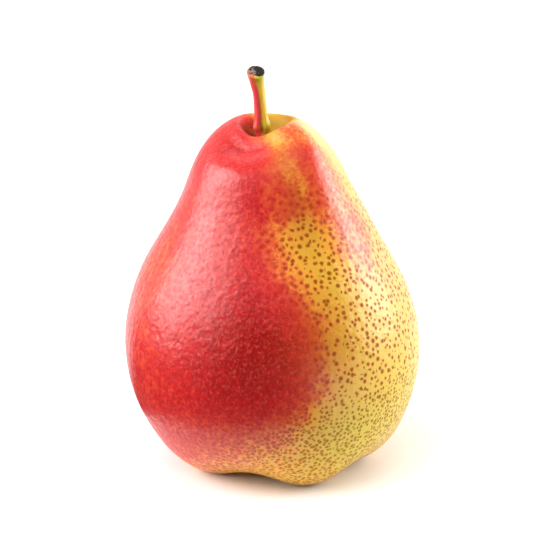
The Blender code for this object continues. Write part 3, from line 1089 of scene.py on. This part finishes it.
def add_soft_box(name, brightness):
    """A rectangular light that faces the pear's middle."""
    azimuth, elevation, width, height = SOFT_BOXES[name]
    lamp = bpy.data.lights.new(name, "AREA")
    lamp.shape = "RECTANGLE"
    lamp.size = 2 * SOFT_BOX_DISTANCE * math.tan(math.radians(width) / 2)
    lamp.size_y = 2 * SOFT_BOX_DISTANCE * math.tan(math.radians(height) / 2)
    lamp.energy = brightness * math.pi * lamp.size * lamp.size_y
    holder = bpy.data.objects.new(name, lamp)
    direction = towards(azimuth, elevation)
    holder.location = sum(cad_box, Vector()) / 2 + SOFT_BOX_DISTANCE * direction
    holder.rotation_euler = direction.to_track_quat("Z", "Y").to_euler()
    holder.visible_camera = False
    bpy.context.scene.collection.objects.link(holder)
    return holder


def paint_world(studio):
    """A studio that is bright overhead and behind the pear, dark round the camera, and
    glows at the left and at the right."""
    world = bpy.data.worlds.new("studio")
    world.use_nodes = True
    air = Recipe(world.node_tree)
    direction = air.node("TexCoord", {}).outputs["Generated"]
    _, back, up = air.node("SeparateXYZ", {0: direction}).outputs
    ceiling = air.between(up, 0.35, 0.95)
    behind = air.between(back, 0.0, 0.8)
    left = air.vector("DOT_PRODUCT", direction, towards(*LEFT_GLOW))
    right = air.vector("DOT_PRODUCT", direction, towards(*RIGHT_GLOW))
    brightness = air.scaled_sum(
        (ceiling, studio.ceiling),
        (behind, studio.back),
        (air.between(left, 0.86, 0.985), studio.left_spill),
        (air.between(right, 0.6, 0.95), studio.right_spill),
        start=studio.front,
    )
    background = world.node_tree.nodes["Background"]
    background.inputs["Color"].default_value = (1.0, 1.0, 1.0, 1.0)
    air.feed(background.inputs["Strength"], brightness)
    bpy.context.scene.world = world


def lay_floor(studio):
    """A wide pale floor just under the resting plane, with a faint unevenness of tone."""
    paper = Finish("pale_paper")
    tone = paper.noise(paper.place(), 300 * MM, detail=1.0)
    shade = tuple(0.98 * part for part in studio.floor)
    paper.set(Base_Color=paper.mix(tone, studio.floor, shade), Roughness=0.9)
    mesh = bpy.data.meshes.new("floor")
    corners = range(FLOOR_CORNERS)
    rim = [FLOOR_RADIUS * towards(360 * corner / FLOOR_CORNERS, 0.0) for corner in corners]
    mesh.from_pydata([(x, y, -FLOOR_DROP) for x, y, _ in rim], [], [corners])
    mesh.materials.append(paper.material)
    floor = bpy.data.objects.new("floor", mesh)
    bpy.context.scene.collection.objects.link(floor)


def lay_dark_card():
    """A dark card on the floor round the camera: the pear sees it, and the camera and the
    floor beneath it don't."""
    dark = Finish("dark_card")
    tone = dark.noise(dark.place(), 50 * MM)
    dark.set(Base_Color=dark.mix(tone, (0.06, 0.06, 0.06), (0.08, 0.08, 0.08)), Roughness=1.0)
    dark.set(Specular_IOR_Level=0.0)
    under = dark.node("NewGeometry", {}).outputs["Backfacing"]
    clear = dark.node("BsdfTransparent", {}).outputs[0]
    both = dark.node("MixShader", {0: under, 1: dark.shader.outputs[0], 2: clear})
    dark.feed(dark.tree.nodes["Material Output"].inputs["Surface"], both.outputs[0])
    mesh = bpy.data.meshes.new("dark_card")
    sweep = np.radians(np.linspace(*CARD_SWEEP, CARD_STEPS))
    inner = np.linspace(*CARD_INNER, CARD_STEPS)
    points = [
        (reach * math.cos(turn), reach * math.sin(turn), CARD_HEIGHT)
        for radii in (inner, np.full(CARD_STEPS, CARD_OUTER))
        for reach, turn in zip(radii, sweep)
    ]
    faces = [
        (step, CARD_STEPS + step, CARD_STEPS + step + 1, step + 1)
        for step in range(CARD_STEPS - 1)
    ]
    mesh.from_pydata(points, [], faces)
    mesh.materials.append(dark.material)
    card = bpy.data.objects.new("dark_card", mesh)
    card.visible_camera = False
    card.visible_shadow = False
    bpy.context.scene.collection.objects.link(card)


def set_camera(studio):
    """Looks at the pear from the front and a little above."""
    camera = bpy.data.objects.new("camera", bpy.data.cameras.new("camera"))
    camera.data.lens = studio.lens
    camera.data.sensor_width = 36.0
    camera.data.clip_start = 0.01
    low, high = cad_box
    aside, share = CAMERA_AIM
    aim = Vector((aside, 0.0, share * (high.z - low.z)))
    back = towards(-90.0, math.degrees(studio.elevation))
    camera.location = aim + studio.distance * back
    camera.rotation_euler = back.to_track_quat("Z", "Y").to_euler()
    bpy.context.scene.collection.objects.link(camera)
    bpy.context.scene.camera = camera


def build_studio(studio):
    """Floor, world, soft boxes and camera, replacing any that are there."""
    for name in ("floor", "dark_card", "camera", *SOFT_BOXES):
        old = bpy.data.objects.get(name)
        if old is not None:
            bpy.data.objects.remove(old, do_unlink=True)
    lay_floor(studio)
    lay_dark_card()
    paint_world(studio)
    add_soft_box("left_soft_box", studio.left_light)
    add_soft_box("right_soft_box", studio.right_light)
    strip = add_soft_box("right_sheen", studio.right_sheen)
    strip.visible_diffuse = False
    overhead = add_soft_box("top_soft_box", studio.top_light)
    overhead.visible_glossy = False
    set_camera(studio)
    bpy.context.scene.view_settings.view_transform = "Standard"


# ---------------------------------------------------------------------------------------
# Add-on
# ---------------------------------------------------------------------------------------


class PEAR_OT_fruit(Operator):
    """Grow the blushed skin over the fruit"""

    bl_idname = "pear.fruit"
    bl_label = "Grow Fruit"

    def execute(self, context):
        grow_fruit(context.scene.pear_fruit)
        return {"FINISHED"}


class PEAR_OT_stalk(Operator):
    """Grow the stalk with its scar"""

    bl_idname = "pear.stalk"
    bl_label = "Grow Stalk"

    def execute(self, context):
        grow_stalk(context.scene.pear_stalk)
        return {"FINISHED"}


class PEAR_OT_sepals(Operator):
    """Grow the dried sepals round the eye"""

    bl_idname = "pear.sepals"
    bl_label = "Grow Sepals"

    def execute(self, context):
        grow_sepals(context.scene.pear_flower)
        return {"FINISHED"}


class PEAR_OT_stamens(Operator):
    """Grow the tuft of dried stamens in the eye"""

    bl_idname = "pear.stamens"
    bl_label = "Grow Stamens"

    def execute(self, context):
        grow_stamens(context.scene.pear_flower)
        return {"FINISHED"}


class PEAR_OT_studio(Operator):
    """Lay the floor and set the lights and the camera"""

    bl_idname = "pear.studio"
    bl_label = "Build Studio"

    def execute(self, context):
        build_studio(context.scene.pear_studio)
        return {"FINISHED"}


class PEAR_PT_sidebar(Panel):
    """Lists the pear's pieces with their sizes and colours"""

    bl_idname = "PEAR_PT_sidebar"
    bl_label = "Blushed Pear"
    bl_space_type = "VIEW_3D"
    bl_region_type = "UI"
    bl_category = "Pear"

    def draw(self, context):
        scene = context.scene
        for settings, operators in (
            (scene.pear_fruit, (PEAR_OT_fruit,)),
            (scene.pear_stalk, (PEAR_OT_stalk,)),
            (scene.pear_flower, (PEAR_OT_sepals, PEAR_OT_stamens)),
            (scene.pear_studio, (PEAR_OT_studio,)),
        ):
            box = self.layout.box()
            for name in type(settings).__annotations__:
                box.prop(settings, name)
            for operator in operators:
                box.operator(operator.bl_idname)


SETTINGS = {
    "pear_fruit": PEAR_PG_fruit,
    "pear_stalk": PEAR_PG_stalk,
    "pear_flower": PEAR_PG_flower,
    "pear_studio": PEAR_PG_studio,
}
CLASSES = (
    *SETTINGS.values(),
    PEAR_OT_fruit,
    PEAR_OT_stalk,
    PEAR_OT_sepals,
    PEAR_OT_stamens,
    PEAR_OT_studio,
    PEAR_PT_sidebar,
)


def register():
    """Adds the settings, the operators and the panel."""
    for one in CLASSES:
        bpy.utils.register_class(one)
    for name, group in SETTINGS.items():
        setattr(bpy.types.Scene, name, PointerProperty(type=group))


def unregister():
    """Takes away what `register` added."""
    for name in SETTINGS:
        delattr(bpy.types.Scene, name)
    for one in reversed(CLASSES):
        bpy.utils.unregister_class(one)


def main():
    """Builds the pear and its studio."""
    register()
    bpy.ops.pear.studio()
    bpy.ops.pear.fruit()
    bpy.ops.pear.stalk()
    bpy.ops.pear.sepals()
    bpy.ops.pear.stamens()


if __name__ == "__main__":
    main()
